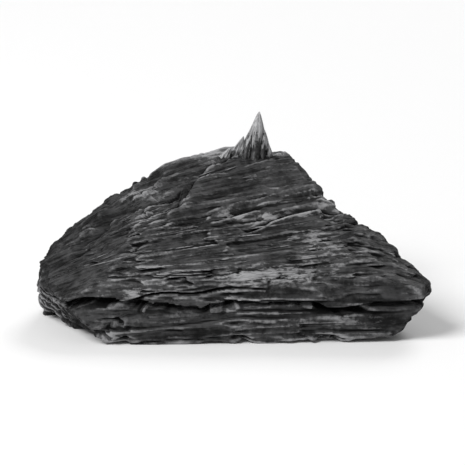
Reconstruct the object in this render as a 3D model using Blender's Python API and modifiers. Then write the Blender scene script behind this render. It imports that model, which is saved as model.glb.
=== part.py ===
"""A lump of barbecue charcoal: one wedge of charred wood, split along its grain and snapped across it.

The grain runs along X and fans out to the right. The broad split face slopes down towards the front (-Y), and
a long shake opens under its front ridge. The lump lies on a flat split face. The origin is under the middle of
the lump, at its base. The lump is one natural piece, so it is one solid in one object.
"""

import math

import bmesh
import bpy
from mathutils import Euler, Matrix, Vector

MM = 0.001

# Driving dimensions of the rough block, in metres, and the point inside the lump that its breaks are
# measured from.
LENGTH = 70.0 * MM
DEPTH = 44.0 * MM
HEIGHT = 27.0 * MM
CORE = Vector((-1.1, -2.35, 10.0)) * MM
BELOW_FLOOR = 3.0 * MM

# Each flat break: the way that it faces (degrees from +X in plan, degrees above the horizon) and, in
# millimetres, how far it lies from the core of the lump.
BREAKS = {
    "top_split": (-92.0, 62.0, 6.9),
    "top_left": (-132.0, 62.0, 11.2),
    "top_right": (-40.0, 66.0, 13.0),
    "front_side": (-91.0, 26.0, 12.6),
    "front_foot": (-88.0, -5.0, 16.4),
    "right_corner": (-16.0, -34.0, 31.0),
    "right_tip": (-10.0, 16.0, 33.2),
    "right_end": (43.0, 9.0, 17.6),
    "right_shoulder": (18.0, 44.0, 20.0),
    "back_split": (84.0, 24.0, 19.2),
    "back_left": (113.0, 20.0, 17.8),
    "back_corner": (130.0, 18.0, 20.0),
    "left_shoulder": (153.0, 14.0, 25.4),
    "left_end": (178.0, 4.0, 30.4),
    "left_under": (-146.0, -30.0, 27.4),
    "right_under": (30.0, -42.0, 21.4),
    "back_under": (98.0, -36.0, 18.6),
}

# Sheets that have peeled off the top split face: a plan point on the step's foot, from the core, in
# millimetres, the heading of the step's line in degrees, and the sheet's depth in millimetres.
STEPS = {
    "front_sheet": ((3.0, -0.9), 8.0, 1.3),
    "left_sheet": ((-16.5, 3.1), 22.0, 1.1),
}

# The splinter that stands on the rim, the sliver that has lifted beside it and the scoop broken out at the
# sliver's foot: place from the core and size in millimetres, lean in degrees.
SPLINTER = {"place": (4.0, 13.3, 15.6), "size": (12.0, 6.0, 12.5), "lean": (-8.0, -4.0, 20.0)}
SLIVER = {"place": (-14.5, 5.7, 10.0), "size": (4.0, 3.4, 14.0), "lean": (0.0, 62.0, 30.0)}
SCOOP = {"place": (-22.0, 1.5, 7.4), "size": (8.0, 5.0, 4.4), "lean": (28.0, -22.0, 24.0)}
SPIKE_SIDES = 5
SPIKE_TIP = 0.16

# The shake: a split along the grain, under the front ridge. Its height, its reach into the lump, its gap, and
# the two waves that it follows: the second is smaller, shorter and starts later.
SHAKE_HEIGHT = 6.4 * MM
SHAKE_REACH = 5.0 * MM
SHAKE_GAP = 0.9 * MM
SHAKE_WAVE = 0.55 * MM
SHAKE_WAVE_LENGTH = 27.0 * MM
SECOND_WAVE = {"share": 0.5, "rate": 2.3, "start": 1.0}
SHAKE_STRIPS = (48, 2)

# The relief of charred grain: a coarse and a fine swell, both drawn out along the grain. GRAIN_CELL is the
# size of one cloud along, across and through the grain. Each swell has its cloud size as a share of that, its
# octaves and its height.
GRAIN_TURN = Euler((math.radians(28.0), 0.0, math.radians(12.0)))
GRAIN_CELL = Vector((36.0, 5.0, 4.0)) * MM
COARSE_SWELL = {"scale": 0.9, "octaves": 1, "height": 1.3 * MM}
FINE_SWELL = {"scale": 0.3, "octaves": 2, "height": 0.8 * MM}

# The mesh: the edge of a voxel of the even mesh, and the share of its faces that are kept.
VOXEL = 0.75 * MM
KEPT_SHARE = 0.27

CHAR_COLOUR = (0.045, 0.045, 0.046, 1.0)
CHAR_ROUGHNESS = 0.62


def facing(heading, tilt):
    """The unit vector with this heading in plan and this tilt above the horizon, both in degrees."""
    turn, rise = math.radians(heading), math.radians(tilt)
    return Vector((math.cos(turn) * math.cos(rise), math.sin(turn) * math.cos(rise), math.sin(rise)))


def collection(name):
    """A new collection in the scene."""
    made = bpy.data.collections.new(name)
    bpy.context.scene.collection.children.link(made)
    return made


def add_object(name, mesh, group):
    """Turns a bmesh into an object of this name in the collection."""
    data = bpy.data.meshes.new(name)
    mesh.to_mesh(data)
    mesh.free()
    obj = bpy.data.objects.new(name, data)
    group.objects.link(obj)
    return obj


def helper(obj):
    """Marks a cutter or another helper, which isn't part of the object."""
    obj.hide_render = True
    obj.display_type = "WIRE"
    return obj


def placed(shape):
    """The matrix of a shape given by its place and size in millimetres and its lean in degrees."""
    turn = Euler([math.radians(angle) for angle in shape["lean"]])
    return Matrix.LocRotScale(CORE + Vector(shape["place"]) * MM, turn, Vector(shape["size"]) * MM)


def break_off(mesh, normal, point):
    """Removes what lies beyond the plane and closes the cut with one flat face."""
    geometry = mesh.verts[:] + mesh.edges[:] + mesh.faces[:]
    cut = bmesh.ops.bisect_plane(mesh, geom=geometry, plane_co=point, plane_no=normal, clear_outer=True)
    rim = [item for item in cut["geom_cut"] if isinstance(item, bmesh.types.BMEdge)]
    bmesh.ops.edgeloop_fill(mesh, edges=rim)


def broken_block(group):
    """The rough block with every flat break taken off it. It reaches below the floor, which cuts it last."""
    mesh = bmesh.new()
    middle = Vector((CORE.x, CORE.y, (HEIGHT - BELOW_FLOOR) / 2))
    size = Vector((LENGTH, DEPTH, HEIGHT + BELOW_FLOOR))
    bmesh.ops.create_cube(mesh, size=1, matrix=Matrix.LocRotScale(middle, None, size))
    for heading, tilt, distance in BREAKS.values():
        normal = facing(heading, tilt)
        break_off(mesh, normal, CORE + normal * distance * MM)
    bmesh.ops.recalc_face_normals(mesh, faces=mesh.faces[:])
    return add_object("charcoal_lump", mesh, group)


def peeled_sheet(name, foot, heading, depth, group):
    """A box over what a peeled sheet took away. Its underside is the new face, parallel to the top split face,
    and its back wall is the step. It is thick enough to reach out of the lump."""
    up = facing(*BREAKS["top_split"][:2])
    along = facing(heading, 0.0)
    along = (along - up * along.dot(up)).normalized()
    slope = up.cross(along)
    axes = Matrix((along, slope, up)).transposed()
    face = CORE + up * BREAKS["top_split"][2] * MM
    start = CORE + Vector((*foot, 0.0)) * MM
    start.z = face.z - (start - face).xy.dot(up.xy) / up.z
    size = Vector((LENGTH, DEPTH, HEIGHT / 2))
    centre = start - slope * size.y / 2 + up * (size.z / 2 - depth * MM)
    mesh = bmesh.new()
    bmesh.ops.create_cube(mesh, size=1, matrix=Matrix.LocRotScale(centre, axes.to_quaternion(), size))
    return helper(add_object(name, mesh, group))


def spike(name, shape, group):
    """A splinter as a tapered spike with a blunt tip, from a cone of unit size."""
    mesh = bmesh.new()
    radii = {"radius1": 0.5, "radius2": 0.5 * SPIKE_TIP}
    bmesh.ops.create_cone(mesh, cap_ends=True, segments=SPIKE_SIDES, depth=1, matrix=placed(shape), **radii)
    return helper(add_object(name, mesh, group))


def scoop(group):
    """A rounded chip's hollow, as a stretched ball."""
    mesh = bmesh.new()
    bmesh.ops.create_icosphere(mesh, subdivisions=2, radius=0.5, matrix=placed(SCOOP))
    return helper(add_object("scoop", mesh, group))


def shake_blade(group):
    """The sheet of air inside the shake: a wavy leaf along the grain, given its gap by Solidify."""
    mesh = bmesh.new()
    inner = CORE.y - (BREAKS["front_side"][2] * MM - SHAKE_REACH)
    outer = -DEPTH
    middle = Vector((CORE.x, (inner + outer) / 2, 0.0))
    matrix = Matrix.LocRotScale(middle, None, Vector((2 * LENGTH, inner - outer, 1.0)))
    strips_along, strips_across = SHAKE_STRIPS
    bmesh.ops.create_grid(mesh, x_segments=strips_along, y_segments=strips_across, size=0.5, matrix=matrix)
    for vertex in mesh.verts:
        phase = 2 * math.pi * (vertex.co.x - CORE.x) / SHAKE_WAVE_LENGTH
        second = math.sin(SECOND_WAVE["rate"] * phase + SECOND_WAVE["start"])
        vertex.co.z = SHAKE_HEIGHT + SHAKE_WAVE * (math.sin(phase) + SECOND_WAVE["share"] * second)
    leaf = helper(add_object("shake_blade", mesh, group))
    gap = leaf.modifiers.new("gap", "SOLIDIFY")
    gap.thickness = SHAKE_GAP
    gap.offset = 0.0
    return leaf


def floor_block(group):
    """The block below the resting face."""
    mesh = bmesh.new()
    size = Vector((3 * LENGTH, 3 * DEPTH, HEIGHT))
    bmesh.ops.create_cube(mesh, size=1, matrix=Matrix.LocRotScale(Vector((0, 0, -HEIGHT / 2)), None, size))
    return helper(add_object("floor_block", mesh, group))


def carve(lump, other, operation):
    """Adds a Boolean modifier that cuts the other shape from the lump or joins it to the lump."""
    modifier = lump.modifiers.new(other.name, "BOOLEAN")
    modifier.object = other
    modifier.operation = operation
    modifier.solver = "EXACT"


def swell(lump, name, guide, shape):
    """Adds a Displace modifier whose clouds are drawn out along the guide's X axis."""
    clouds = bpy.data.textures.new(name, "CLOUDS")
    clouds.noise_scale = shape["scale"]
    clouds.noise_depth = shape["octaves"]
    modifier = lump.modifiers.new(name, "DISPLACE")
    modifier.texture = clouds
    modifier.texture_coords = "OBJECT"
    modifier.texture_coords_object = guide
    modifier.strength = shape["height"]
    modifier.mid_level = 0.5


def grain_guide(group):
    """An empty turned along the grain: one unit of its X is much longer than one of its Y or Z."""
    guide = bpy.data.objects.new("grain_guide", None)
    group.objects.link(guide)
    guide.location = CORE
    guide.rotation_euler = GRAIN_TURN
    guide.scale = GRAIN_CELL
    return guide


def char_material():
    """Charred wood: near black and dull."""
    material = bpy.data.materials.new("charred_wood")
    material.use_nodes = True
    surface = material.node_tree.nodes["Principled BSDF"]
    surface.inputs["Base Color"].default_value = CHAR_COLOUR
    surface.inputs["Roughness"].default_value = CHAR_ROUGHNESS
    surface.inputs["Metallic"].default_value = 0.0
    return material


def main():
    """Empties the scene, shapes the lump, cuts it flat at its base and returns it."""
    for obj in list(bpy.data.objects):
        bpy.data.objects.remove(obj)
    parts = collection("charcoal_lump")
    cutters = collection("cutters")
    lump = broken_block(parts)
    lump.data.materials.append(char_material())
    for name, (foot, heading, depth) in STEPS.items():
        carve(lump, peeled_sheet(name, foot, heading, depth, cutters), "DIFFERENCE")
    carve(lump, scoop(cutters), "DIFFERENCE")
    carve(lump, spike("splinter", SPLINTER, cutters), "UNION")
    carve(lump, spike("sliver", SLIVER, cutters), "UNION")
    remesh = lump.modifiers.new("even_mesh", "REMESH")
    remesh.mode = "VOXEL"
    remesh.voxel_size = VOXEL
    guide = grain_guide(cutters)
    swell(lump, "coarse_swell", guide, COARSE_SWELL)
    swell(lump, "fine_swell", guide, FINE_SWELL)
    fewer = lump.modifiers.new("fewer_faces", "DECIMATE")
    fewer.ratio = KEPT_SHARE
    carve(lump, shake_blade(cutters), "DIFFERENCE")
    carve(lump, floor_block(cutters), "DIFFERENCE")
    return lump


main()
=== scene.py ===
# %% [markdown]
# # A lump of barbecue charcoal
#
# Lump charcoal is wood that was heated without air until only its carbon was left. It keeps everything that
# the wood had: the fibres, the growth rings, the cracks that opened as it dried. This lesson builds one
# lump. It was split along the grain on its long sides and snapped across the grain at its ends, and those
# two kinds of break look quite different, so the shape and the finish both start from the wood.
#
# A sculpted rock with a bump map would be quick, but every crack on charcoal throws a real shadow. So the
# relief is real geometry here, worked out with numpy, and bump is kept for what is finer than the mesh.

import bpy
import numpy as np
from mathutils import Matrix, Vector


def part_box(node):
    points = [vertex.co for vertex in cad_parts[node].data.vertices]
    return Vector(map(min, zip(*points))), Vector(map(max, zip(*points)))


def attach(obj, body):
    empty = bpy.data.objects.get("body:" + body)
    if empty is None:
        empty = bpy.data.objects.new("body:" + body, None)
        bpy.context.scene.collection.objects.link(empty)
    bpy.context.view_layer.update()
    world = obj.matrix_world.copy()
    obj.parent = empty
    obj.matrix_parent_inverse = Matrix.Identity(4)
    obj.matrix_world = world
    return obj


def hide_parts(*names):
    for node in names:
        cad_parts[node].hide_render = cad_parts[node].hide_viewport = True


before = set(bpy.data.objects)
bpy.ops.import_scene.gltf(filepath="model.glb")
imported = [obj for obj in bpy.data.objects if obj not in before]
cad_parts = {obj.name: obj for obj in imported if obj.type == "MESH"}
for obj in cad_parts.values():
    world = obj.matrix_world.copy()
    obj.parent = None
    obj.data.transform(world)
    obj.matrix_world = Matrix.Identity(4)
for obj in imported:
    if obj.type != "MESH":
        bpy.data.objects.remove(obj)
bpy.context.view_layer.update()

MM = 0.001
LOW, HIGH = (np.array(corner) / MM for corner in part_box("charcoal_lump"))
SIZE = HIGH - LOW
print("the solid's box in mm:", LOW.round(2), "to", HIGH.round(2))

# %% [markdown]
# ## Camera, floor and light
#
# The lump is small and seen from far away, a little from above, so a long lens stands well back. A long
# lens keeps perspective weak. The floor is a white sweep that curves up behind the lump, as in a product
# studio: with no horizon, nothing but the contact shadow says where the floor is.

# %% The camera
VIEW_HEIGHT_DEGREES = 18.0
LENS_MM = 300.0
SENSOR_MM = 36.0
LUMP_SHARE_OF_WIDTH = 0.84
AIM = np.array((0.0, 0.0, 13.2))


def add_object(name, data, place=None):
    """A new object in the scene. With a place, a vector in metres, it stands there and faces the lump."""
    made = bpy.data.objects.new(name, data)
    bpy.context.scene.collection.objects.link(made)
    if place is not None:
        made.location = place
        made.rotation_euler = (Vector(AIM * MM) - made.location).to_track_quat("-Z", "Y").to_euler()
    return made


def add_camera():
    """A long lens in front of the lump. Distance = focal length times the width in view over the sensor
    width."""
    data = bpy.data.cameras.new("long_lens")
    data.lens = LENS_MM
    data.sensor_width = SENSOR_MM
    distance = LENS_MM * (SIZE[0] / LUMP_SHARE_OF_WIDTH) / SENSOR_MM
    tilt = np.radians(VIEW_HEIGHT_DEGREES)
    place = AIM + distance * np.array((0.0, -np.cos(tilt), np.sin(tilt)))
    bpy.context.scene.camera = add_object("camera", data, Vector(place * MM))
    return distance


print("the camera stands", round(add_camera()), "mm from the lump")

# %% Arrays into meshes, and a material to start from


def stacked(*parts):
    """One array with these numbers or arrays along its last axis, each stretched to their common shape."""
    return np.stack(np.broadcast_arrays(*parts), -1)


def grid_faces(rows, columns, closed):
    """Corner numbers of the quads between neighbours of a rows by columns grid, numbered row by row. A
    closed grid also joins its last column to its first."""
    row = np.arange(rows - 1)[:, None]
    column = np.arange(columns if closed else columns - 1)[None, :]
    after = (column + 1) % columns
    here, above = row * columns, (row + 1) * columns
    return stacked(here + column, here + after, above + after, above + column).reshape(-1, 4)


def add_mesh(name, points_mm, faces):
    """A smooth mesh object at the origin whose vertices are these points, given in millimetres."""
    mesh = bpy.data.meshes.new(name)
    mesh.from_pydata((points_mm.reshape(-1, 3) * MM).tolist(), [], faces)
    mesh.polygons.foreach_set("use_smooth", np.ones(len(mesh.polygons), bool))
    mesh.update()
    return add_object(name, mesh)


def new_material(name):
    """A material with nodes, and its shader node."""
    made = bpy.data.materials.new(name)
    made.use_nodes = True
    return made, made.node_tree.nodes["Principled BSDF"]


# %% The white sweep
SWEEP_WIDTH = 4000.0
SWEEP_FRONT = -2500.0
SWEEP_BEND_AT = 900.0
SWEEP_RADIUS = 600.0
SWEEP_TOP = 1800.0


def add_sweep():
    """A floor that turns up into a wall. Profile: a flat run, a quarter circle, an upright run; carried
    along X."""
    turn = np.linspace(0.0, np.pi / 2, 24)
    bend_y = SWEEP_BEND_AT + SWEEP_RADIUS * np.sin(turn)
    bend_z = SWEEP_RADIUS * (1.0 - np.cos(turn))
    y = np.concatenate(([SWEEP_FRONT], bend_y, [bend_y[-1]]))
    z = np.concatenate(([0.0], bend_z, [SWEEP_TOP]))
    x = np.array((-0.5, 0.5)) * SWEEP_WIDTH
    points = stacked(x[None, :], y[:, None], z[:, None])
    sweep = add_mesh("sweep", points, grid_faces(len(y), 2, False).tolist())
    paper, shader = new_material("white_paper")
    shader.inputs["Base Color"].default_value = (0.86, 0.86, 0.86, 1.0)
    shader.inputs["Roughness"].default_value = 0.8
    shader.inputs["Specular IOR Level"].default_value = 0.2
    sweep.data.materials.append(paper)
    return sweep


add_sweep()

# %% Studio lights


def add_softbox(name, place_mm, size_mm, watts):
    """A square area light that faces the lump."""
    data = bpy.data.lights.new(name, "AREA")
    data.size = size_mm * MM
    data.energy = watts
    return add_object(name, data, Vector(place_mm) * MM)


add_softbox("key", (-470.0, -320.0, 650.0), size_mm=400.0, watts=6.6)
add_softbox("rim", (300.0, 620.0, 620.0), size_mm=420.0, watts=3.2)
ROOM_BRIGHTNESS = 0.33
room = bpy.data.worlds.new("white_room")
bpy.context.scene.world = room
room.use_nodes = True
background = room.node_tree.nodes["Background"]
background.inputs["Color"].default_value = (1.0, 1.0, 1.0, 1.0)
background.inputs["Strength"].default_value = ROOM_BRIGHTNESS
bpy.context.scene.view_settings.view_transform = "Standard"

# %% [markdown]
# ## Noise from a lattice
#
# Every irregular thing below is drawn from one simple idea. Give each point of a whole-number lattice a
# fixed random value, worked out by mixing the bits of its coordinates, and blend between the eight nearest
# ones. Because the values come from a formula and not from a random generator, the lump is the same on
# every run, and the whole mesh is worked out in one go.

# %% Lattice noise


def hashed(cell, seed):
    """Lattice points (..., 3) to fixed values from 0 to 1: each coordinate times a large odd number, then
    mixed."""
    whole = cell.astype(np.int64).astype(np.uint32)
    mixed = whole[..., 0] * np.uint32(374761393) + whole[..., 1] * np.uint32(668265263)
    mixed = mixed + whole[..., 2] * np.uint32(2246822519) + np.uint32(seed * 3266489 % 4294967291)
    mixed = (mixed ^ (mixed >> np.uint32(15))) * np.uint32(2654435761)
    mixed = (mixed ^ (mixed >> np.uint32(13))) * np.uint32(1274126177)
    return (mixed ^ (mixed >> np.uint32(16))).astype(np.float64) / 4294967295.0


def noise(points, seed):
    """Smooth noise from -1 to 1: the cell's eight corner values, blended by 6t^5 - 15t^4 + 10t^3 on each
    axis."""
    cell = np.floor(points)
    share = points - cell
    share = share * share * share * (share * (share * 6.0 - 15.0) + 10.0)
    total = 0.0
    for corner in np.ndindex(2, 2, 2):
        step = np.array(corner)
        weight = np.where(step == 1, share, 1.0 - share).prod(-1)
        total = total + weight * hashed(cell + step, seed)
    return 2.0 * total - 1.0


def layered(points, seed, octaves):
    """Octaves of noise, each twice as fine and half as strong as the last, scaled to about -1 to 1."""
    strengths = 0.5 ** np.arange(octaves)
    layers = (noise(points * 2.0**k + 17.3 * k, seed + k) * strengths[k] for k in range(octaves))
    return sum(layers) / strengths.sum()


def cells(points, seed):
    """Cells round one jittered seed per lattice square of the first two coordinates: returns how much
    further the second nearest seed is than the nearest, which is 0 on a cell's edge, and the nearest one's
    own random value."""
    flat = stacked(points[..., 0], points[..., 1], 0.0)
    cell = np.floor(flat)
    near = np.full(flat.shape[:-1], np.inf)
    second = near.copy()
    value = np.zeros_like(near)
    for shift in np.ndindex(3, 3):
        spot = cell + np.array((shift[0] - 1, shift[1] - 1, 0))
        jitter = stacked(hashed(spot, seed), hashed(spot, seed + 1), 0.0)
        distance = np.linalg.norm(spot + jitter - flat, axis=-1)
        closer = distance < near
        second = np.where(closer, near, np.minimum(second, distance))
        value = np.where(closer, hashed(spot, seed + 2), value)
        near = np.where(closer, distance, near)
    return second - near, value


def ramp(value, start, end):
    """Rises smoothly from 0 at start to 1 at end: 3t^2 - 2t^3."""
    share = np.clip((value - start) / (end - start), 0.0, 1.0)
    return share * share * (3.0 - 2.0 * share)


# %% [markdown]
# ## The wood's own coordinates
#
# A tree lays down its wood in rings and along fibres, and charcoal cracks along both. So each point of the
# lump gets three numbers: how far it lies along the fibres, how far across them, and how far out from the
# tree's heart. Any pattern that is long in the first number and short in the other two looks like grain, on
# every face at once, and it meets itself at the edges as real grain does.
#
# The fibres fan out slightly in plan, like the ribs of a hand fan, and the rings are large circles round a
# heart that lies well outside the lump, below it and behind it.

# %% Grain, rings and core
CORE = LOW + SIZE * np.array((0.482, 0.437, 0.3185))
FAN_LENGTH = 76.0
FAN_HEADING = np.radians(14.0)
FAN_CENTRE = CORE[:2] - FAN_LENGTH * np.array((np.cos(FAN_HEADING), np.sin(FAN_HEADING)))
RING_RADIUS = 60.0
RING_TILT = np.radians(62.0)
HEART = CORE[1:] - RING_RADIUS * np.array((-np.cos(RING_TILT), np.sin(RING_TILT)))
GRAIN_HEADING = np.radians(12.0)
GRAIN = np.array((np.cos(GRAIN_HEADING), np.sin(GRAIN_HEADING), 0.0))


def wood_at(points):
    """Millimetres along, across and outwards. Along and across: distance and angle from the fan's centre in
    plan. Outwards: distance from the heart's line, less the ring radius at the core, with a slow wander."""
    plan = points[..., :2] - FAN_CENTRE
    along = np.hypot(plan[..., 0], plan[..., 1]) - FAN_LENGTH
    across = FAN_LENGTH * np.arctan2(plan[..., 1], plan[..., 0])
    from_heart = points[..., 1:] - HEART
    outwards = np.hypot(from_heart[..., 0], from_heart[..., 1]) - RING_RADIUS
    wander = noise(stacked(along / 26.0, across / 11.0, outwards / 14.0), 5)
    return stacked(along, across, outwards + 0.9 * wander)


print("the core lies at", CORE.round(1), "and the tree's heart at y, z =", HEART.round(1))

# %% [markdown]
# ## The rough block
#
# A lump that has been split and snapped is bounded by flat breaks. Each one is a plane, named by the way
# that it faces and how far it lies from the core. To find the surface, rays fan out from a line inside the
# lump, and each ray ends at the first plane that it meets. The two parameters of the skin are how far along
# the lump a ray starts and the angle at which it leaves, so the whole skin is one closed grid with a pole
# at each end.

# %% The flat breaks
BREAKS = {
    # heading in plan and tilt above the horizon, both in degrees, then distance from the core in mm
    "top_split": (-92.0, 62.0, 6.9),
    "top_left": (-132.0, 62.0, 11.2),
    "top_right": (-40.0, 66.0, 13.0),
    "front_side": (-91.0, 26.0, 12.6),
    "front_foot": (-88.0, -5.0, 16.4),
    "right_corner": (-16.0, -34.0, 31.0),
    "right_tip": (-10.0, 16.0, 33.2),
    "right_end": (43.0, 9.0, 17.6),
    "right_shoulder": (18.0, 44.0, 20.0),
    "back_split": (84.0, 24.0, 19.2),
    "back_left": (113.0, 20.0, 17.8),
    "back_corner": (130.0, 18.0, 20.0),
    "left_shoulder": (153.0, 14.0, 25.4),
    "left_end": (178.0, 4.0, 30.4),
    "left_under": (-146.0, -30.0, 27.4),
    "right_under": (30.0, -42.0, 21.4),
    "back_under": (98.0, -36.0, 18.6),
    "resting_face": (0.0, -90.0, CORE[2]),
}


def facing(heading, tilt):
    """The unit vector with this heading in plan and this tilt above the horizon, in degrees."""
    turn, rise = np.radians(heading), np.radians(tilt)
    return np.array((np.cos(turn) * np.cos(rise), np.sin(turn) * np.cos(rise), np.sin(rise)))


NAMES = list(BREAKS)
NORMALS = np.array([facing(heading, tilt) for heading, tilt, distance in BREAKS.values()])
DISTANCES = np.array([distance for heading, tilt, distance in BREAKS.values()])
ACROSS_GRAIN = np.abs(NORMALS @ GRAIN)
SNAPPED_FROM, SNAPPED_BY = 0.4, 0.75  # how squarely a break crosses the grain, 1 for a right angle
print("not purely split:", [name for name, share in zip(NAMES, ACROSS_GRAIN) if share > SNAPPED_FROM])

# %% The fan of rays
REACH = 17.0
RINGS = 272
SPOKES = 356
UNDERSIDE_WEIGHT = 0.42
TRIAL_LEANS, TRIAL_TURNS, POLE_LEANS = 241, 361, 30
FAR = 1e6
GRAZING = 1e-4


def rays(lean, turn):
    """Where rays start and which way they go. lean runs from -90 degrees at the left pole to 90 at the
    right one, and turn goes once round. Start: the core moved along X by REACH sin(lean). Way: (sin lean,
    cos lean cos turn, cos lean sin turn)."""
    lean, turn = np.broadcast_arrays(lean, turn)
    start = CORE + stacked(REACH * np.sin(lean), 0.0, 0.0)
    way = stacked(np.sin(lean), np.cos(lean) * np.cos(turn), np.cos(lean) * np.sin(turn))
    return start, way


def lengths_to(start, way, distances):
    """Each ray's length to each plane, (distance - start.normal) / (way.normal), or a large one if it faces
    away."""
    closing = way @ NORMALS.T
    gap = distances - (start - CORE) @ NORMALS.T
    return np.where(closing > GRAZING, gap / np.maximum(closing, GRAZING), FAR)


def even_steps(fine, weight, count):
    """Picks count places on a fine scale so that each step holds the same share of the summed weight."""
    total = np.concatenate(([0.0], np.cumsum(weight)))
    return np.interp(np.linspace(0.0, total[-1], count), total, fine)


def spread():
    """Leans and turns that put the grid's points about evenly over the smooth block, with fewer on its
    underside. A trial fan is laid over the block, and a step weighs what its longer pieces measure: the
    70th percentile of those along, the 75th of those around away from the poles."""
    lean = np.linspace(-np.pi / 2, np.pi / 2, TRIAL_LEANS)
    turn = np.linspace(0.0, 2 * np.pi, TRIAL_TURNS)
    start, way = rays(lean[:, None], turn[None, :])
    ends = start + way * lengths_to(start, way, DISTANCES).min(-1)[..., None]
    seen = np.where(ends[..., 2] > 0.1, 1.0, UNDERSIDE_WEIGHT)
    along = np.linalg.norm(np.diff(ends, axis=0), axis=-1) * seen[1:]
    around = np.linalg.norm(np.diff(ends, axis=1), axis=-1) * seen[:, 1:]
    leans = even_steps(lean, np.percentile(along, 70, axis=1), RINGS)
    middle = around[POLE_LEANS:-POLE_LEANS]
    turns = even_steps(turn, np.percentile(middle, 75, axis=0), SPOKES + 1)[:-1]
    return leans, turns


leans, turns = spread()
steps = np.degrees(np.diff(leans))
print("steps along, in degrees:", steps.min().round(2), "to", steps.max().round(2))

# %% [markdown]
# ## What the breaks look like
#
# Where charcoal splits along the grain, it peels in thin sheets. Each sheet stops at a torn edge, and the
# face is left as terraces, long in the grain and ragged at their ends, with fine fibres over all of it.
# Heat shrinks the wood, so short cracks run across the fibres too. Where it snaps across the grain, bundles
# of fibres break at different depths, and the face is rough and layered by the rings, with thin rays that
# cross them.

# %% Relief of a split face
CRACK_SPACING = 7.5
SHEET, SHEET_EDGE = 0.42, 0.22


def terraces(height, sheet, edge):
    """Rounds a height to whole sheets, with a short ramp that takes the given share of each step."""
    level = height / sheet
    floor = np.floor(level)
    return (floor + ramp(level - floor, 1.0 - edge, 1.0)) * sheet


def stretched(wood, along, across):
    """Wood coordinates in units of a pattern's own length along the fibres and width across them."""
    return wood / np.array((along, across, across))


def cross_cracks(wood, seed):
    """Cracks across the fibres, 0 to 1. The grain is cut into strips, each strip into stretches, and some
    of the stretches have one straight crack at a place of their own, which fades at the strip's edges."""
    strip = wood[..., 1] / 2.4 + wood[..., 2] / 2.9 + 0.5 * noise(stretched(wood, 12.0, 3.0), seed)
    row = np.floor(strip)
    inside = strip - row
    shift = hashed(stacked(row, 0.0, 0.0), seed + 1)
    stretch = wood[..., 0] / CRACK_SPACING + 9.0 * shift
    number = np.floor(stretch)
    key = stacked(row, number, 0.0)
    place = 0.25 + 0.5 * hashed(key, seed + 2) + 0.10 * (inside - 0.5) + 0.03 * noise(wood * 1.1, seed + 3)
    off = np.abs(stretch - number - place) * CRACK_SPACING
    fade = ramp(inside, 0.0, 0.25) * (1.0 - ramp(inside, 0.75, 1.0))
    return (1.0 - ramp(off, 0.05, 0.32)) * fade * (hashed(key, seed + 4) > 0.8)


def long_cracks(wood, seed):
    """Cracks along the fibres, 0 to 1: the thin places where a slow, stretched noise crosses zero, in some
    stretches of the grain only."""
    line = noise(stretched(wood, 42.0, 4.6), seed) + 0.12 * noise(stretched(wood, 7.0, 1.1), seed + 1)
    where = noise(stretched(wood, 17.0, 5.0), seed + 2)
    return (1.0 - ramp(np.abs(line), 0.0, 0.05)) * ramp(where, 0.05, 0.35)


def broken_layers(wood, size, seed):
    """Random heights from -1 to 1, one for each block of wood: size gives a block's length, width and
    thickness. Blocks are staggered from ring to ring and from strip to strip, and their edges are ragged
    along the fibres."""
    rough = wood + 0.35 * noise(stretched(wood, 5.0, 0.6), seed)[..., None] * np.array((6.0, 0.7, 0.55))
    block = np.zeros_like(wood)
    block[..., 0] = np.floor(rough[..., 2] / size[2])
    block[..., 1] = np.floor(rough[..., 1] / size[1] + 5.0 * hashed(block, seed + 1))
    block[..., 2] = np.floor(rough[..., 0] / size[0] + 5.0 * hashed(block, seed + 2))
    return 2.0 * hashed(block, seed + 3) - 1.0


def split_relief(wood):
    """Height in mm: a slow swell rounded to sheets, broken layers of two sizes, fibres, and both kinds of
    crack."""
    swell = 0.7 * layered(stretched(wood, 38.0, 7.0), 11, 2)
    ragged = 0.15 * layered(stretched(wood, 7.0, 1.0), 21, 2)
    sheets = terraces(swell + ragged, SHEET, SHEET_EDGE)
    layers = 0.2 * broken_layers(wood, (15.0, 3.6, 1.3), 31)
    layers = layers + 0.09 * broken_layers(wood, (7.0, 1.3, 0.6), 35)
    fibres = 0.09 * noise(stretched(wood, 15.0, 0.66), 41) + 0.06 * noise(stretched(wood, 7.0, 0.45), 43)
    cracks = 0.3 * cross_cracks(wood, 51) + 0.8 * long_cracks(wood, 61)
    return sheets + layers + fibres - cracks


# %% [markdown]
# ## Edges that can be named
#
# Random relief gives the right texture but not this lump. Its top face has a few edges that the eye goes to
# first: a torn sheet on the left with a dark notch at its foot, and two lifted lips to the right of it.
# Each one is a line drawn in plan by a few points, with its own profile across it.

# %% The named edges
EDGES = {
    # the line's plan points from the core, then its drop, lip, groove and how far behind it the groove lies,
    # all in mm
    "torn_sheet": (
        ((-25.5, -1.0), (-21.0, 1.8), (-17.0, 4.4), (-13.0, 4.6), (-8.4, 6.0)),
        (0.85, 0.1, 0.7, -0.8),
    ),
    "near_lip": (((-1.0, -1.9), (2.0, -0.6), (5.6, 0.6)), (0.3, 0.16, 0.55, 0.75)),
    "far_lip": (
        ((3.0, -4.4), (7.0, -2.2), (10.5, -0.7), (15.0, 0.1), (20.6, -0.4)),
        (0.35, 0.16, 0.85, 0.75),
    ),
    "steep_tear": (((-8.2, 1.0), (-5.5, 5.0), (-2.4, 9.4), (2.0, 13.4)), (-0.4, 0.0, 0.4, 0.7)),
    "rim_line": (((0.0, 12.9), (6.0, 13.4), (13.0, 12.6)), (0.3, 0.1, 0.45, 0.7)),
}
EDGE_FADE = 1.6
EDGE_WIDTH = 0.5


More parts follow.
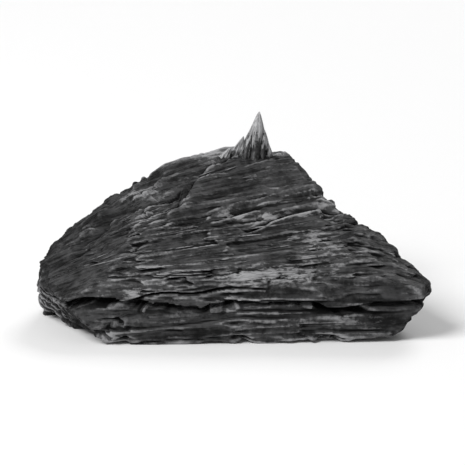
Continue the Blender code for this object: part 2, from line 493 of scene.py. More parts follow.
def named_edges(points):
    """Height in mm from the named edges. Fingers of fibre shift each line along X. With q the distance
    behind the line along Y: -drop in front of it, plus lip exp(-(q / w)^2), less groove exp(-((q - place) /
    w)^2), with w the edge's width, all faded out past the line's ends."""
    wood = wood_at(points)
    total = 0.0
    for number, (line, (drop, lip, groove, place)) in enumerate(EDGES.values()):
        line_x, line_y = np.array(line).T
        fingers = 1.6 * noise(stretched(wood, 16.0, 1.3), 201 + number)
        x, y = points[..., 0] - CORE[0] + fingers, points[..., 1] - CORE[1]
        wobble = 0.3 * noise(points / np.array((5.0, 30.0, 30.0)), 221 + number)
        q = y - np.interp(x, line_x, line_y) - wobble
        past_end = ramp(x, line_x[-1], line_x[-1] + EDGE_FADE)
        shown = ramp(x, line_x[0] - EDGE_FADE, line_x[0]) * (1.0 - past_end)
        run_out = 1.0 - ramp(-q, 1.5, 9.0)
        front = -drop * (1.0 - ramp(q, -1.4 * EDGE_WIDTH, 0.2)) * run_out
        bump = lip * np.exp(-(((q - 0.3) / EDGE_WIDTH) ** 2))
        bump = bump - groove * np.exp(-(((q - place) / EDGE_WIDTH) ** 2))
        total = total + shown * (front + bump)
    return total


# %% [markdown]
# ## Snapped and resting faces
#
# A snapped face shows the ends of the fibres, as the end of a broken stick does. Bundles of fibres let go
# at different depths, so the face is a field of small, uneven blocks. Random cells give the bundles, and
# the wood's rings and rays are laid over them. The face that the lump rests on isn't seen, so it reuses the
# split relief, only never proud of the floor: a lump must not stand on a bump that the solid doesn't have.

# %% Relief of a snapped face


def snapped_relief(wood):
    """Height in mm: a coarse swell, one step for each ring, bundles of fibres snapped at their own depths,
    grains, and rays as shallow cuts along the outward way."""
    swell = 1.0 * layered(wood[..., [1, 2, 0]] / 6.5, 71, 2)
    ring = terraces(wood[..., 2] + 0.3 * noise(wood / 3.0, 73), 1.5, 0.25) / 1.5
    step = 0.55 * noise(stacked(wood[..., 1] / 9.0, ring * 3.1, 0.0), 75)
    gap, value = cells(wood[..., 1:3] / np.array((0.95, 0.75)), 77)
    bundles = 0.5 * (value - 0.5) * ramp(gap, 0.0, 0.3)
    grains = 0.12 * layered(wood / np.array((0.8, 0.5, 0.5)), 81, 2)
    ray = 1.0 - ramp(np.abs(noise(wood / np.array((40.0, 1.3, 9.0)), 83)), 0.0, 0.12)
    return swell + step + bundles + grains - 0.22 * ray


# %% [markdown]
# ## The shake
#
# A shake is a split that follows a growth ring. This lump has a long one under its front ridge, and it is
# the darkest line on it. It is cut into the skin by shortening the rays that would come out within it.

# %% The shake's line
SHAKE = {"height": 6.4, "reach": 5.0, "gap": 0.95, "wave": 0.55, "wave_length": 27.0}
PINCH = {"x": 5.7, "reach": 7.0, "share": 0.6}


def above_shake(points):
    """Height in mm above the shake's middle, whose own height is a sine along X plus a half-size one 2.3
    times as quick, and ragged."""
    phase = 2 * np.pi * (points[..., 0] - CORE[0]) / SHAKE["wave_length"]
    middle = SHAKE["height"] + SHAKE["wave"] * (np.sin(phase) + 0.5 * np.sin(2.3 * phase + 1.0))
    return points[..., 2] - middle - 0.18 * noise(points / np.array((1.7, 9.0, 9.0)), 92)


def shake_depth(points):
    """How far the shake takes a point inwards, in mm: full depth within half a gap of its middle, then
    fading. The gap is ragged, and pinched by share exp(-((x - pinch) / reach)^2)."""
    pinched = 1.0 - PINCH["share"] * np.exp(-(((points[..., 0] - PINCH["x"]) / PINCH["reach"]) ** 2))
    half = 0.5 * SHAKE["gap"] * pinched * (1.0 + 0.35 * noise(points / np.array((2.6, 3.0, 1.4)), 91))
    return SHAKE["reach"] * (1.0 - ramp(np.abs(above_shake(points)), half * 0.75, half * 1.35))


# %% [markdown]
# ## The skin
#
# Each ray is stopped by the break that is nearest once relief is added, so two reliefs interlock where
# their breaks meet, and the edge comes out ragged without being drawn. Edges of char also crumble when a
# lump is handled, and the foot, which carries the weight, loses the most. Subdividing a block and sculpting
# it would also do, but this way every number can be changed later.

# %% The relief of each break
TOP_FACES = ("top_split", "top_left", "top_right")


def spread_mean(grid, rows, columns):
    """The mean of each point's neighbours up to so many rows and columns away; columns wrap round."""
    total = sum(np.roll(grid, shift, axis=1) for shift in range(-columns, columns + 1)) / (2 * columns + 1)
    padded = np.concatenate((np.repeat(total[:1], rows, 0), total, np.repeat(total[-1:], rows, 0)))
    return sum(padded[shift : shift + len(grid)] for shift in range(2 * rows + 1)) / (2 * rows + 1)


def relief(which, points):
    """The relief of one flat break at these points, in mm: split and snapped relief, mixed by how squarely
    the break crosses the grain, with the named edges added on the top faces. The resting face has 0.7 of
    the split relief plus 0.1, and is flat where that would be above 0."""
    wood = wood_at(points)
    if NAMES[which] == "resting_face":
        return np.minimum(0.0, 0.7 * split_relief(wood) + 0.1)
    height = named_edges(points) if NAMES[which] in TOP_FACES else 0.0
    snapped = ramp(ACROSS_GRAIN[which], SNAPPED_FROM, SNAPPED_BY)
    if snapped < 1.0:
        height = height + (1.0 - snapped) * split_relief(wood)
    if snapped > 0.0:
        height = height + snapped * snapped_relief(wood)
    return height


# %% Rays that end on the relief
CLOSE_BREAK = 5.0  # mm: a break that lies no further behind the nearest one may come first with its relief
LEAST_CLOSING = 0.62  # a ray that grazes a break is taken to meet it at least this squarely


def broken_block(start, way):
    """How long each ray is, how much further its next break lies, and how squarely the break it meets
    crosses the grain. Every break close to the nearest one gets its relief, and the nearest of them then
    ends the ray: length = flat length + relief / (way.normal)."""
    flat = lengths_to(start, way, DISTANCES)
    first = flat.min(-1)
    length = np.full(flat.shape, FAR)
    for which in range(len(NAMES)):
        close = flat[..., which] < first + CLOSE_BREAK
        points = start[close] + way[close] * flat[close][:, which, None]
        closing = np.maximum(way[close] @ NORMALS[which], LEAST_CLOSING)
        length[close, which] = flat[close][:, which] + relief(which, points) / closing
    near, second = np.moveaxis(np.sort(length, axis=-1)[..., :2], -1, 0)
    return near, second - near, ACROSS_GRAIN[length.argmin(-1)]


# %% Crumbled edges and a worn foot


def lost_at_edges(points, margin):
    """How much each ray loses, in mm. margin is how much further the next break lies, so it is small near
    an edge. Crumbs and whole blocks go within 2 mm of an edge, but not beside the shake, and hollows up to
    2.4 mm deep go at the foot."""
    wood = wood_at(points)
    crumble = ramp(noise(stretched(wood, 4.0, 0.9), 95), -0.1, 0.5)
    blocks = ramp(broken_layers(wood, (4.5, 1.9, 1.4), 96), 0.1, 0.6)
    chips = 0.45 * crumble * (1.0 - ramp(margin, 0.0, 1.1))
    chips = chips + 0.75 * blocks * (1.0 - ramp(margin, 0.3, 1.9))
    hollows = noise(stretched(wood, 5.0, 2.4), 98) + 0.35 * broken_layers(wood, (6.0, 3.0, 1.6), 97)
    worn = ramp(hollows, -0.15, 0.3)
    foot = (1.0 - ramp(points[..., 2], 0.7, 3.0)) * (1.0 - ramp(margin, 0.8, 4.0))
    return chips * ramp(np.abs(above_shake(points)), 2.2, 4.2) + 2.4 * worn * foot


def evened(grid):
    """The grid without the teeth that a steep step shows where it crosses the rings at a slant. Each point
    moves three quarters of the way to the mean of itself and its neighbours along, or all the way where the
    grid steps by more than 1.6 mm around."""
    around = np.roll(grid, -1, 1) - np.roll(grid, 1, 1)
    steep = ramp(np.linalg.norm(around, axis=-1, keepdims=True), 0.9, 1.6)
    steep = np.minimum(1.0, 2.0 * spread_mean(steep, 1, 1))
    return grid + np.maximum(steep, 0.75) * (spread_mean(grid, 1, 0) - grid)


# %% The skin


def skin():
    """The lump's points on the grid, the same before the shake is cut, how deep each lies in the shake,
    from 0 to 1, and how squarely its break crosses the grain. The shake is cut only by rays that leave
    towards the front. Last, X and Y are scaled to fit the solid's box: low + (x - own low) times the box's
    size over the skin's own."""
    start, way = rays(leans[:, None], turns[None, :])
    near, margin, snapped = broken_block(start, way)
    near = near - lost_at_edges(start + way * near[..., None], margin)
    whole = start + way * near[..., None]
    depth = shake_depth(whole) * ramp(-way[..., 1], 0.45, 0.75)
    split = evened(whole - way * depth[..., None])
    low, high = split.min((0, 1)), split.max((0, 1))
    for grid in (whole, split):
        grid[..., :2] = LOW[:2] + (grid[..., :2] - low[:2]) * SIZE[:2] / (high - low)[:2]
        grid[..., 2] = np.maximum(grid[..., 2], 0.0)
    return split, whole, depth / SHAKE["reach"], snapped


skin_points, whole_points, in_shake, skin_snapped = skin()
print("skin box in mm:", skin_points.min((0, 1)).round(2), "to", skin_points.max((0, 1)).round(2))
print("solid box in mm:", LOW.round(2), "to", HIGH.round(2))

# %% [markdown]
# ## The skin's mesh and what the finish needs to know
#
# Dust settles on ridges and handling polishes them, while hollows get painted shade, a near-black. The
# finish can't see the shape, so the mesh tells it: each point is compared with the mean of its neighbours,
# and how far it stands out or lies back is saved as an attribute, from -1 to 1 by h / sqrt(h^2 + 0.1^2), so
# that it never steps.
# It is faded at the two poles, where the grid is too fine to compare, and where two reliefs interlock. The
# wood coordinates are saved too, so that the fine fibres in the finish run the same way as the carved ones.

# %% Ridges and hollows


def outward(grid):
    """Unit normals of a closed grid, facing out: its step around crossed with its step along."""
    along = np.gradient(grid, axis=0)
    around = np.roll(grid, -1, axis=1) - np.roll(grid, 1, axis=1)
    normal = np.cross(around, along)
    return normal / np.maximum(np.linalg.norm(normal, axis=-1, keepdims=True), 1e-9)


def standing_out(grid, rows, columns):
    """How far each point stands out from the mean of its neighbours, in mm along the smoothed normal."""
    smooth = spread_mean(grid, rows, columns)
    return ((grid - smooth) * outward(spread_mean(grid, 2, 3))).sum(-1)


HALF_RIDGE = 0.1  # mm: a point that stands out this much gets 0.7
HOLLOW = 0.45  # mm: a point that lies back this much over a broad stretch gets -1
fine_height = spread_mean(standing_out(whole_points, 2, 2), 1, 0)
broad_height = standing_out(whole_points, 5, 8)
from_pole = np.minimum(np.arange(RINGS), RINGS - 1 - np.arange(RINGS))[:, None]
snapped_share = ramp(spread_mean(skin_snapped, 6, 10), 0.2, 0.8)
calm = ramp(from_pole, 3.0, 17.0) * (1.0 - 2.4 * snapped_share * (1.0 - snapped_share))
ridge = fine_height * calm / np.hypot(fine_height, HALF_RIDGE)
broad_height = broad_height * calm
print("standing out, in mm, at 2 and 98 percent:", np.percentile(fine_height, (2, 98)).round(3))

# %% [markdown]
# ## Where dust, painted highlight and painted shade lie
#
# A bag of charcoal is shaken on its way, and pale dust gathers in some places and is rubbed off in others.
# On this lump pale colour lies thickest along the front ridge, on the rim, on the torn sheet and on the two
# lips, partly dust and partly painted highlight, while the right tip, the strips beside the shake, the
# middle, a notch and the strip under the rim get painted shade. Painting this by hand would tie it to one
# mesh. Soft ellipsoids in space do the same job and can be moved by changing a few numbers.

# %% Places of dust, painted highlight and painted shade
# from the deepest painted shade to the thickest dust with painted highlight
DEEPEST_PAINTED_SHADE, THICKEST_DUST_AND_HIGHLIGHT = -1.0, 1.7
DUST_AND_PAINTED_LIGHT_PLACES = {
    # place and reach in mm, from the core, and strength: dust above 0, partly painted highlight; painted
    # shade below 0
    "front_ridge": ((5.6, -12.6, 0.4), (8.5, 2.1, 2.0), 1.5),
    "front_ridge_left": ((-15.0, -13.5, -1.8), (2.6, 1.8, 1.0), 1.7),
    "torn_sheet": ((-15.4, 4.9, 9.6), (5.0, 1.5, 2.6), 1.3),
    "left_slope": ((-16.0, -8.0, 4.0), (5.5, 4.0, 3.4), 0.7),
    "left_end": ((-27.0, -7.6, -4.4), (4.0, 6.0, 2.0), 0.9),
    "near_lip": ((2.2, -0.6, 8.8), (4.0, 0.8, 2.4), 1.9),
    "far_lip": ((11.5, -0.8, 8.9), (7.5, 0.9, 2.4), 1.8),
    "rim": ((5.5, 12.6, 14.4), (7.5, 0.9, 3.0), 1.2),
    "rim_left": ((-3.4, 12.4, 14.8), (3.6, 2.4, 3.0), 1.0),
    "middle_right": ((13.5, -5.6, 5.6), (6.0, 3.0, 4.0), 0.6),
    "right_slope": ((20.0, -9.4, 3.4), (6.5, 4.0, 4.0), 0.85),
    "lower_right": ((19.5, -15.5, -6.4), (6.5, 3.0, 1.4), 0.85),
    # painted shade: darkening put where shade falls, in the middle, a notch, under the rim, on the right tip
    # and beside the shake
    "dark_middle": ((-5.7, -2.8, 6.4), (5.0, 2.2, 3.0), -0.8),
    "dark_notch": ((-21.7, 2.0, 6.0), (2.6, 1.6, 1.8), -1.3),
    "under_rim": ((8.5, 9.0, 12.9), (6.0, 2.0, 3.0), -0.55),
    "right_tip": ((28.0, -6.0, 0.0), (6.5, 10.0, 6.0), -0.7),
    "above_shake": ((7.5, -13.8, -1.9), (8.0, 1.8, 0.8), -0.9),
    "below_shake": ((9.0, -15.0, -5.0), (8.0, 3.0, 1.5), -0.8),
}


def dust_and_painted_light_at(points):
    """From -1, the deepest painted shade, to 1.7, thick with dust and painted highlight: a sum of soft
    ellipsoids, strength exp(-(distance / reach)^2), made uneven by noise."""
    total = 0.0
    for place, reach, strength in DUST_AND_PAINTED_LIGHT_PLACES.values():
        off = (points - CORE - np.array(place)) / np.array(reach)
        total = total + strength * np.exp(-(off**2).sum(-1))
    uneven = 1.0 + 0.5 * layered(stretched(wood_at(points), 5.0, 1.6), 131, 2)
    return np.clip(total * uneven, DEEPEST_PAINTED_SHADE, THICKEST_DUST_AND_HIGHLIGHT)


# %% The skin's mesh


def save_for_finish(made, wood, ridge, relief, dust_and_painted_light):
    """Saves the wood coordinates and three numbers for each vertex, under the names that the finish reads."""
    made.data.attributes.new("wood", "FLOAT_VECTOR", "POINT").data.foreach_set("vector", wood.ravel())
    for name, values in (("ridge", ridge), ("relief", relief), ("dust_and_painted_light", dust_and_painted_light)):
        made.data.attributes.new(name, "FLOAT", "POINT").data.foreach_set("value", values)


def stands_for_the_lump(made):
    """Puts a piece in the solid's place: it goes where the solid goes, and the solid is hidden."""
    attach(made, "root")
    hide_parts("charcoal_lump")


def pole_to_pole(grid):
    """A grid's values in the mesh's order: all rings but the end ones, then the two ends' means."""
    ends = grid[[0, -1]].mean(1)
    return np.concatenate((grid[1:-1].reshape(-1, *grid.shape[2:]), ends))


def pole_faces(rows, columns):
    """Corner numbers of the quads between the rings, and of the triangles to the two poles, all facing
    out."""
    quads = grid_faces(rows, columns, True)
    first = np.arange(columns)
    after = (first + 1) % columns
    last = (rows - 1) * columns
    left = stacked(after, first, rows * columns)
    right = stacked(last + first, last + after, rows * columns + 1)
    return quads, np.concatenate((left, right))


quads, fans = pole_faces(RINGS - 2, SPOKES)
vertices = pole_to_pole(skin_points)
lump = add_mesh("charcoal_skin", vertices, quads.tolist() + fans.tolist())
# painted shade: the shake is counted as the deepest hollow, so the finish darkens it to a near-black
hollowed = pole_to_pole(np.clip(broad_height / HOLLOW - 2.0 * in_shake, -1.0, 1.0))
save_for_finish(lump, wood_at(vertices), pole_to_pole(ridge), hollowed, dust_and_painted_light_at(vertices))
lump.data.set_sharp_from_angle(angle=np.radians(58.0))
stands_for_the_lump(lump)
print("the skin has", sum(len(face.vertices) - 2 for face in lump.data.polygons), "triangles")

# %% [markdown]
# ## Splinters
#
# A split never leaves a clean face. Some fibres tear loose at one end and stand up: one tall splinter on
# the rim of this lump, and thin slivers that hug its split faces. Each is a blade carried from its root to
# its tip, with a flat, ragged section that narrows to a point.

# %% A batch of blades
BLADE_ROWS = 11
BLADE_COLUMNS = 8
ASH_TOWARDS_TIP = 0.02


def blades(root, tip, side, width, thick, seed, rows=BLADE_ROWS, columns=BLADE_COLUMNS, flutes=0.0):
    """Points of many blades at once, (blades, rows, columns, 3), and their own wood coordinates. With v
    from root to tip and a round the section: centre(v) + side cos(a) width (1 - v)^0.8 / 2 + flat sin(a)
    thick (1 - v)^0.6 / 2. Noise makes both ragged, and flutes cuts the flat sides by that share of |noise|
    across the blade."""
    v = np.linspace(0.0, 1.0, rows)[None, :, None]
    angle = (np.arange(columns) / columns * 2 * np.pi)[None, None, :]
    number = np.arange(len(root))[:, None, None]
    way = tip - root
    length = np.linalg.norm(way, axis=-1, keepdims=True)
    flat = np.cross(way / length, side)
    spot = (v * length[:, None] / 4.5, np.cos(angle) * 2.6 + number * 7.7, np.sin(angle) * 1.6)
    ragged = 1.0 + 0.34 * layered(stacked(*spot), seed, 2)
    taper = np.maximum(1.0 - v, 0.012)
    wide = 0.5 * width[:, None, None] * taper**0.8 * ragged * np.cos(angle)
    groove = (v * length[:, None] / 14.0, wide / 0.55 + 5.3 * number, np.sign(np.sin(angle)))
    groove = np.abs(noise(stacked(*groove), seed + 3))
    fluted = 1.0 - flutes * (1.0 - np.minimum(1.0, 2.4 * groove))
    deep = 0.5 * thick[:, None, None] * taper**0.6 * ragged * np.sin(angle) * fluted
    centre = root[:, None, None] + way[:, None, None] * v[..., None]
    points = centre + side[:, None, None] * wide[..., None] + flat[:, None, None] * deep[..., None]
    own = stacked(v * length[:, None], wide + 3.1 * number, deep)
    return points, own


def blade_mesh(name, grids, material):
    """One mesh of all the blades, each closed by a pole at its root and one at its tip."""
    between = (grid[:, 1:-1].reshape(len(grid), -1, 3) for grid in grids)
    ends = (grid[:, [0, -1]].mean(2) for grid in grids)
    points, own = (np.concatenate(pair, 1) for pair in zip(between, ends))
    rows, columns = grids[0].shape[1:3]
    quads, fans = pole_faces(rows - 2, columns)
    first = (np.arange(len(points)) * points.shape[1])[:, None, None]
    faces = (quads + first).reshape(-1, 4).tolist() + (fans + first).reshape(-1, 3).tolist()
    made = add_mesh(name, points, faces)
    made.data.materials.append(material)
    wood = own.reshape(-1, 3)
    ridges = 0.15 + 0.6 * noise(stretched(wood, 3.0, 0.45), 99)
    dust_and_painted_light = dust_and_painted_light_at(points.reshape(-1, 3)) + ASH_TOWARDS_TIP * wood[:, 0] ** 2
    dust_and_painted_light = np.clip(dust_and_painted_light, DEEPEST_PAINTED_SHADE, THICKEST_DUST_AND_HIGHLIGHT)
    save_for_finish(made, wood, ridges, np.full(len(wood), 0.35), dust_and_painted_light)
    made.data.set_sharp_from_angle(angle=np.radians(45.0))
    stands_for_the_lump(made)
    return made


# %% [markdown]
# ## The finish
#
# Char isn't one black. Fresh split faces have a dull graphite sheen that breaks up along the fibres,
# hollows are given painted shade, a near-black, and rubbed ridges carry pale grey dust, which on the front
# ridge, the lips and the rim is partly painted highlight. The effects that every char surface shares are
# three small node groups: fibres, dust with painted highlight, and pores. Each material sets its own values
# on them.

# %% Node helpers


def new_group(name, vectors, numbers, outputs):
    """An empty shader node group and the sockets inside it: what it is given, by name, and what it gives.
    vectors names its vector inputs, numbers its number inputs with their defaults, outputs its number
    outputs."""
    tree = bpy.data.node_groups.new(name, "ShaderNodeTree")
    for label in vectors:
        tree.interface.new_socket(name=label, in_out="INPUT", socket_type="NodeSocketVector")
    for label, value in numbers.items():
        socket = tree.interface.new_socket(name=label, in_out="INPUT", socket_type="NodeSocketFloat")
        socket.default_value = value
    for label in outputs:
        tree.interface.new_socket(name=label, in_out="OUTPUT", socket_type="NodeSocketFloat")
    return tree, tree.nodes.new("NodeGroupInput").outputs, tree.nodes.new("NodeGroupOutput").inputs


def node(tree, kind, inputs=None, **settings):
    """A new node with its settings, and with each input linked to a socket or set to a value."""
    made = tree.nodes.new("ShaderNode" + kind)
    for key, value in settings.items():
        setattr(made, key, value)
    for key, value in (inputs or {}).items():
        if isinstance(value, bpy.types.NodeSocket):
            tree.links.new(value, made.inputs[key])
        else:
            made.inputs[key].default_value = value
    return made


def arithmetic(tree, operation, first, second=0.0, clamp=False):
    """The result socket of one Math node."""
    return node(tree, "Math", {0: first, 1: second}, operation=operation, use_clamp=clamp).outputs[0]


def product(tree, first, second, clamp=False):
    """The result socket of a Math node that gives first * second."""
    return arithmetic(tree, "MULTIPLY", first, second, clamp)


def added(tree, value, times, more):
    """The result socket of a Math node that gives value * times + more."""
    return node(tree, "Math", {0: value, 1: times, 2: more}, operation="MULTIPLY_ADD").outputs[0]


def scaled(tree, vector, by):
    """The result socket of a Vector Math node that gives vector * by, axis by axis."""
    return node(tree, "VectorMath", {0: vector, 1: by}, operation="MULTIPLY").outputs[0]


def scaled_to_wood(tree, wood, width, stretch):
    """Wood coordinates over the width of a pattern, and along the fibres over the width times the
    stretch."""
    across = arithmetic(tree, "DIVIDE", 1.0, width)
    along = arithmetic(tree, "DIVIDE", across, stretch)
    return scaled(tree, wood, node(tree, "CombineXYZ", {"X": along, "Y": across, "Z": across}).outputs[0])


def clouds(tree, place, scale, detail, roughness):
    """The value socket of a noise texture."""
    given = {"Vector": place, "Scale": scale, "Detail": detail, "Roughness": roughness}
    return node(tree, "TexNoise", given).outputs["Fac"]


def smooth_step(tree, value, start, end):
    """The result socket of a Map Range node from start to end, eased at both ends."""
    ends = {"Value": value, "From Min": start, "From Max": end}
    return node(tree, "MapRange", ends, interpolation_type="SMOOTHSTEP").outputs["Result"]


def blend(tree, share, first, second):
    """The result socket of a colour Mix node."""
    return node(tree, "Mix", {0: share, 6: first, 7: second}, data_type="RGBA").outputs[2]


# %% Three groups that every char surface shares


def fibre_group():
    """Fibres: two noises, long along the wood's first coordinate and short across it."""
    numbers = {"Fibre Width": 0.3, "Stretch": 14.0}
    tree, given, gives = new_group("char_fibres", ["Wood"], numbers, ["Height", "Streaks"])
    place = scaled_to_wood(tree, given["Wood"], given["Fibre Width"], given["Stretch"])
    tree.links.new(clouds(tree, place, 1.0, 3.0, 0.6), gives["Height"])
    wide = scaled(tree, place, (0.22, 0.3, 0.3))
    tree.links.new(clouds(tree, wide, 1.0, 4.0, 0.55), gives["Streaks"])
    return tree


def dust_and_highlight_group():
    """Dust: on ridges that stand out, in a thin patchy film, and in flakes along the fibres where the dust
    and painted light value is above 0, which is partly painted highlight on the front ridge, lips and rim."""
    numbers = {"Ridge": 0.0, "Relief": 0.0, "Dust And Painted Light": 0.0, "Edge Start": 0.2, "Edge End": 0.9}
    outputs = ["On Edges", "In Patches", "In Flakes"]
    tree, given, gives = new_group("settled_dust_and_painted_highlight", ["Place", "Wood"], numbers, outputs)
    patches = clouds(tree, given["Place"], 130.0, 5.0, 0.62)
    grains = added(tree, clouds(tree, given["Place"], 1500.0, 2.0, 0.6), 0.9, -0.45)

    raised = arithmetic(tree, "ADD", given["Ridge"], grains)
    edge = smooth_step(tree, raised, given["Edge Start"], given["Edge End"])
    tree.links.new(product(tree, edge, smooth_step(tree, patches, 0.36, 0.62)), gives["On Edges"])

    lifted = added(tree, given["Relief"], 0.16, added(tree, grains, 0.35, patches))
    tree.links.new(smooth_step(tree, lifted, 0.52, 0.84), gives["In Patches"])

    torn = clouds(tree, scaled(tree, given["Wood"], (0.42, 1.5, 1.5)), 1.0, 4.0, 0.68)
    thick = added(tree, given["Dust And Painted Light"], 0.22, torn)
    thick = added(tree, given["Ridge"], 0.07, added(tree, grains, 0.25, thick))
    # pale flakes where the dust and painted light value is above 0: partly dust, partly painted highlight
    flaked = product(tree, smooth_step(tree, thick, 0.62, 0.76), given["Dust And Painted Light"], clamp=True)
    tree.links.new(flaked, gives["In Flakes"])
    return tree


def pore_group():
    """Pores: small dark dots, round across the fibres and long along them."""
    tree, given, gives = new_group("char_pores", ["Wood"], {"Spacing": 0.4, "Length": 1.0}, ["Pores"])
    place = scaled_to_wood(tree, given["Wood"], given["Spacing"], given["Length"])
    dots = node(tree, "TexVoronoi", {"Vector": place, "Scale": 1.0, "Randomness": 0.9})
    tree.links.new(smooth_step(tree, dots.outputs["Distance"], 0.42, 0.22), gives["Pores"])
    return tree


GROUPS = {"fibres": fibre_group(), "dust_and_highlight": dust_and_highlight_group(), "pores": pore_group()}

# %% Char materials


def char_material(name, look):
    """Char: painted shade, a near-black, in the hollows and the shaded places, pores of the same near-black,
    streaked char, dust on ridges and in patches, and flakes of dust and painted highlight; bump from fibres
    and pores."""
    made, shader = new_material(name)
    tree = made.node_tree
    wood = node(tree, "Attribute", attribute_name="wood").outputs["Vector"]
    saved = (node(tree, "Attribute", attribute_name=name) for name in ("ridge", "relief", "dust_and_painted_light"))
    ridge, lying, dust_and_painted_light_value = (attribute.outputs["Fac"] for attribute in saved)
    place = node(tree, "TexCoord").outputs["Object"]

    grain = {"Wood": wood, "Fibre Width": look["fibre_width"], "Stretch": look["stretch"]}
    fibres = node(tree, "Group", grain, node_tree=GROUPS["fibres"]).outputs
    dust_and_highlight_inputs = {"Ridge": ridge, "Relief": lying, "Dust And Painted Light": dust_and_painted_light_value, "Place": place, "Wood": wood}
    dust_and_highlight = node(tree, "Group", dust_and_highlight_inputs, node_tree=GROUPS["dust_and_highlight"]).outputs
    dots = {"Wood": wood, "Spacing": look["pore_spacing"], "Length": look["pore_length"]}
    pores = node(tree, "Group", dots, node_tree=GROUPS["pores"]).outputs["Pores"]

    mottled = clouds(tree, place, look["mottle"], 4.0, 0.7)
    streak = added(tree, mottled, 0.5, product(tree, fibres["Streaks"], 0.6))
    streak = smooth_step(tree, streak, 0.42, 0.68)
    body = blend(tree, streak, look["dark"], look["light"])
    # painted shade: hollows and fine creases, where relief and ridge lie back, and the shake, are darkened
    # towards a near-black
    painted_shade = smooth_step(tree, added(tree, lying, 0.5, ridge), -0.1, -0.9)
    # painted shade: the places where the dust and painted light value is below 0 are darkened too
    painted_shade_places = product(tree, smooth_step(tree, dust_and_painted_light_value, -0.05, -0.9), 0.75)
    for share in (painted_shade, painted_shade_places, product(tree, pores, look["pore_depth"])):
        body = blend(tree, share, body, look["painted_shade"])
    threads = smooth_step(tree, fibres["Height"], 0.34, 0.6)
    fibrous = added(tree, threads, look["flakes"] * 0.6, look["flakes"] * 0.4)
    film = product(tree, dust_and_highlight["In Patches"], look["film"])
    edges = product(tree, dust_and_highlight["On Edges"], look["edges"])
    for share in (film, product(tree, dust_and_highlight["In Flakes"], fibrous), edges):
        body = blend(tree, share, body, look["dust_and_highlight"])
    tree.links.new(body, shader.inputs["Base Color"])

    rough = added(tree, streak, -0.16, look["roughness"])
    rough = arithmetic(tree, "MAXIMUM", rough, product(tree, painted_shade, 0.85))
    tree.links.new(rough, shader.inputs["Roughness"])
    shader.inputs["Specular IOR Level"].default_value = look["gloss"]

    dents = {"Strength": 1.0, "Distance": 0.00006, "Height": pores}
    dented = node(tree, "Bump", dents, invert=True).outputs[0]
    lines = {"Strength": 1.0, "Distance": look["bump"], "Height": fibres["Height"], "Normal": dented}
    tree.links.new(node(tree, "Bump", lines).outputs[0], shader.inputs["Normal"])
    return made


def grey(value):
    """A nearly neutral grey, a touch cool."""
    return (value, value, value * 1.02, 1.0)


# the darkest grey is painted shade for hollows and shaded places, and also darkens the pores
SPLIT_LOOK = {
    "dark": grey(0.007), "light": grey(0.058), "painted_shade": grey(0.002), "dust_and_highlight": grey(0.38),
    "fibre_width": 0.22, "stretch": 14.0, "pore_spacing": 0.42, "pore_length": 7.0, "pore_depth": 0.5,
    "film": 0.14, "flakes": 0.8, "edges": 0.7, "roughness": 0.6, "gloss": 0.13, "bump": 0.00016,
    "mottle": 420.0,
}
SNAPPED_LOOK = SPLIT_LOOK | {
    "light": grey(0.03), "fibre_width": 0.34, "stretch": 1.3, "pore_spacing": 0.38, "pore_length": 1.0,
    "pore_depth": 0.8, "film": 0.1, "roughness": 0.66, "bump": 0.0002,
}
ASHEN_LOOK = SPLIT_LOOK | {"dark": grey(0.012), "light": grey(0.085), "dust_and_highlight": grey(0.5), "flakes": 0.95}
SPLIT_CHAR = char_material("split_char", SPLIT_LOOK)
SNAPPED_CHAR = char_material("snapped_char", SNAPPED_LOOK)
ASHEN_CHAR = char_material("ashen_char", ASHEN_LOOK)
lump.data.materials.append(SPLIT_CHAR)
lump.data.materials.append(SNAPPED_CHAR)
snapped_quads = (snapped_share > 0.5)[1:-2].ravel()
material_index = np.concatenate((snapped_quads, np.ones(2 * SPOKES, bool))).astype(np.int32)
lump.data.polygons.foreach_set("material_index", material_index)
print("share of snapped quads:", snapped_quads.mean().round(2))

# %% [markdown]
# ## The tall splinter
#
# The lump's one landmark is the splinter on its rim, pale with ash at its tip. One cone would look like a
# thorn. When fibres tear, they come away in shards that overlap, so the splinter is six fluted blades side
# by side, one tall and the rest shorter, each with its root sunk well into the skin.

# %% The tall splinter


def unit(vectors):
    """Vectors scaled to length 1."""
    return vectors / np.linalg.norm(vectors, axis=-1, keepdims=True)


RIM = np.array((CORE[0] + 5.6, CORE[1] + 13.0, 24.0))
PRONGS = np.array((
    # root x, y and z and tip x, y and z, from RIM, then width and thickness
    (-1.0, -0.2, -3.4, 0.0, -0.5, HIGH[2] - 24.1, 6.4, 4.6),
    (-2.9, -0.8, -3.2, -0.9, -1.0, 5.2, 4.2, 2.6),
    (0.8, 0.9, -3.2, 0.7, 0.3, 4.2, 4.4, 3.2),
    (-4.8, -0.6, -3.2, -2.6, -0.9, 3.1, 4.4, 2.6),
    (1.9, -0.9, -3.0, 1.7, -1.0, 1.5, 2.8, 2.0),
    (-7.0, -1.0, -3.0, -4.8, -1.2, 1.2, 4.0, 2.2),
))
root, tip, (width, thick) = RIM + PRONGS[:, 0:3], RIM + PRONGS[:, 3:6], PRONGS[:, 6:].T
side = unit(np.array((1.0, 0.12, 0.0))) * np.ones((len(PRONGS), 1))
prongs = blades(root, tip, side, width, thick, seed=101, rows=40, columns=60, flutes=0.5)
blade_mesh("tall_splinter", prongs, ASHEN_CHAR)
print("the splinter has", len(PRONGS), "shards; it ends", tip[:, 2].max().round(1), "mm above the table")

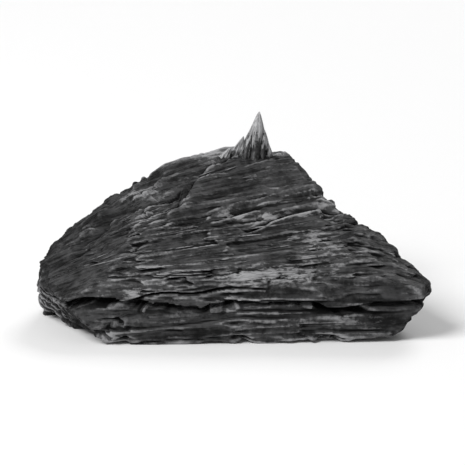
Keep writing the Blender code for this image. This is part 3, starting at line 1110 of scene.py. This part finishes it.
# %% [markdown]
# ## Slivers
#
# Finer fibres lift without breaking off. They are what makes a split face catch the light at a low angle,
# and they are too thin for the skin's grid, so they are blades of their own. Each lies along the local
# grain, starts just under the skin and ends just above it. None is placed on a sharp edge, in the shake or
# near the box's sides.

# %% Slivers that hug the faces
SLIVERS = 230
LEAST_EVEN = 0.96


def evenness(normals, row, column):
    """How flat the skin is at these places, 1 where it doesn't turn: the lower of two dot products, of the
    normals 14 rings to both sides and of those 10 columns to both sides."""
    ahead, behind = np.minimum(row + 14, RINGS - 1), np.maximum(row - 14, 0)
    along = (normals[ahead, column] * normals[behind, column]).sum(-1)
    beside = (normals[row, (column + 10) % SPOKES] * normals[row, column - 10]).sum(-1)
    return np.minimum(along, beside)


def lifted_slivers(count, seed):
    """Blades along the local grain on split faces: rooted just under the skin, tips just above it."""
    number = stacked(np.arange(count), 0, 0)
    random = [hashed(number, seed + k) for k in range(6)]
    row = (20 + random[0] * (RINGS - 40)).astype(int)
    column = (random[1] * SPOKES).astype(int)
    spot = spread_mean(skin_points, 1, 1)[row, column]
    slow_normal = outward(spread_mean(skin_points, 5, 8))
    normal = slow_normal[row, column]
    even = evenness(slow_normal, row, column) > LEAST_EVEN
    clear = spread_mean(in_shake, 3, 10)[row, column] < 0.01
    fan = unit(stacked(*(spot[:, :2] - FAN_CENTRE).T, 0.0))
    either_way = np.where(random[2] > 0.5, 1.0, -1.0)[:, None]
    grain = unit(fan - normal * (fan * normal).sum(-1, keepdims=True)) * either_way
    length = (2.5 + 8.5 * random[3] ** 2)[:, None]
    root = spot - grain * length * 0.5 - normal * 0.12
    tip = spot + grain * length * 0.5 + normal * (0.05 + 0.25 * random[4][:, None])
    inside = (np.minimum(root, tip) > LOW + 0.3).all(-1) & (np.maximum(root, tip) < HIGH - 0.3).all(-1)
    on_split = skin_snapped[row, column] < 0.5
    keep = on_split & even & clear & inside & (spot[:, 2] > 1.2)
    width = 0.35 + 0.75 * random[5]
    side = unit(np.cross(normal, grain))
    return blades(root[keep], tip[keep], side[keep], width[keep], 0.4 * width[keep], seed + 9)


slivers = blade_mesh("lifted_slivers", lifted_slivers(SLIVERS, 111), SPLIT_CHAR)
print("slivers:", len(slivers.data.polygons), "faces")
